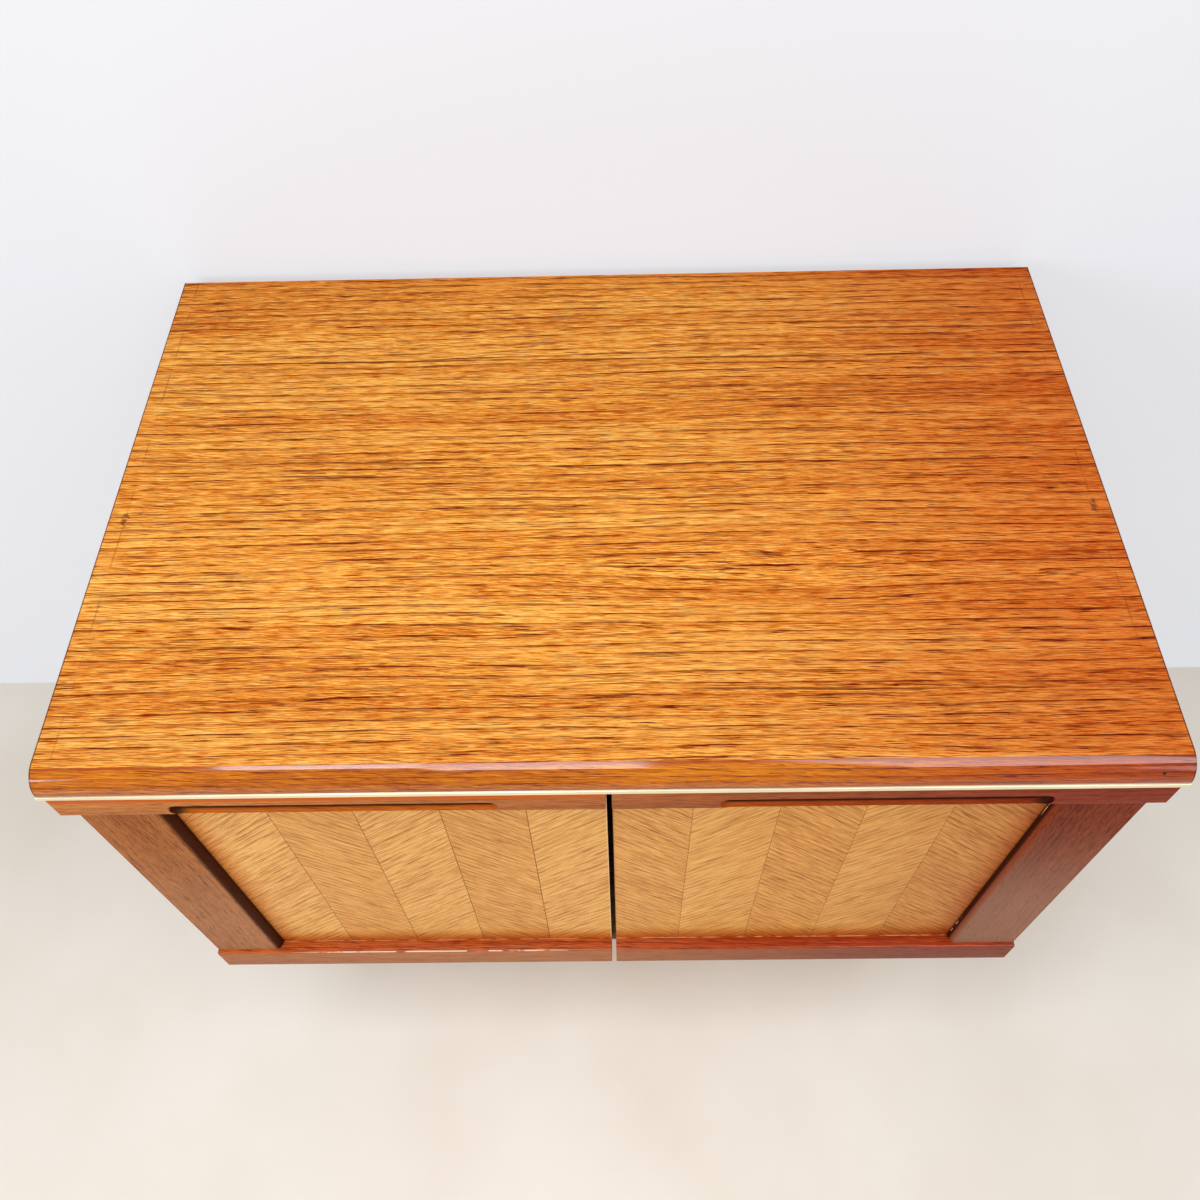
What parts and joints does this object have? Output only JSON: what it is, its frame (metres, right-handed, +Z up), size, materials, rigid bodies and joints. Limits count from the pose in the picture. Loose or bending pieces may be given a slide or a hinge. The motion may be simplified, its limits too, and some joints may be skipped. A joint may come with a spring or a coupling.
{
  "type": "record cabinet",
  "caption": "Low wooden record cabinet on splayed legs, with side-hinged chevron veneer doors, finger coves and a brass trim strip.",
  "frame": {"origin": "on the floor, under the middle of the cabinet's bounding box", "axes": "+X to the viewer's right facing the doors, +Y to the back, +Z up"},
  "size_m": [0.765, 0.4992, 0.734],
  "materials": {
    "top_veneer": "glossy lacquered teak veneer, orange brown with dark streaks along the length",
    "lipping_wood": "glossy lacquered solid wood",
    "frame_wood": "satin reddish brown wood",
    "chevron_veneer": "satin golden tan veneer laid in chevrons",
    "side_veneer": "satin veneered board",
    "inside_board": "plain thin board",
    "leg_wood": "satin turned wood",
    "brass": "polished",
    "steel": "zinc plated",
    "catch_plastic": "matt dark brown"
  },
  "bodies": {
    "carcass": {"top_panel": "top_veneer", "top_front_lipping": "lipping_wood", "brass_trim_strip": "brass", "ferrule_front_left": "brass", "ferrule_front_right": "brass", "ferrule_back_left": "brass", "ferrule_back_right": "brass", "hinge_left_lower_fixed_leaf": "brass", "hinge_left_upper_fixed_leaf": "brass", "hinge_right_lower_fixed_leaf": "brass", "hinge_right_upper_fixed_leaf": "brass", "bottom_panel": "side_veneer", "side_panel_left": "side_veneer", "side_panel_right": "side_veneer", "back_panel": "inside_board", "record_divider_1": "inside_board", "record_divider_2": "inside_board", "record_divider_3": "inside_board", "record_divider_4": "inside_board", "leg_front_left": "leg_wood", "leg_front_right": "leg_wood", "leg_back_left": "leg_wood", "leg_back_right": "leg_wood", "catch_left_magnet": "steel", "catch_right_magnet": "steel", "leg_plate_front_left": "steel", "leg_plate_front_right": "steel", "leg_plate_back_left": "steel", "leg_plate_back_right": "steel", "leg_bolt_front_left": "steel", "leg_bolt_front_right": "steel", "leg_bolt_back_left": "steel", "leg_bolt_back_right": "steel", "hinge_left_lower_pin": "steel", "hinge_left_upper_pin": "steel", "hinge_right_lower_pin": "steel", "hinge_right_upper_pin": "steel", "catch_left_housing": "catch_plastic", "catch_right_housing": "catch_plastic"},
    "left_door": {"hinge_left_lower_moving_leaf": "brass", "hinge_left_upper_moving_leaf": "brass", "door_left_top_rail": "frame_wood", "door_left_bottom_rail": "frame_wood", "door_left_stile": "frame_wood", "door_left_panel": "chevron_veneer", "door_left_strike_plate": "steel"},
    "right_door": {"hinge_right_lower_moving_leaf": "brass", "hinge_right_upper_moving_leaf": "brass", "door_right_top_rail": "frame_wood", "door_right_bottom_rail": "frame_wood", "door_right_stile": "frame_wood", "door_right_panel": "chevron_veneer", "door_right_strike_plate": "steel"}
  },
  "joints": [
    {"name": "left_door_hinge", "type": "hinge", "parent": "carcass", "child": "left_door", "pos_m": [-0.38, -0.2205, 0.5075], "axis": [0, 0, -1], "range_deg": [0, 180]},
    {"name": "right_door_hinge", "type": "hinge", "parent": "carcass", "child": "right_door", "pos_m": [0.38, -0.2205, 0.5075], "axis": [0, 0, 1], "range_deg": [0, 180]}
  ]
}
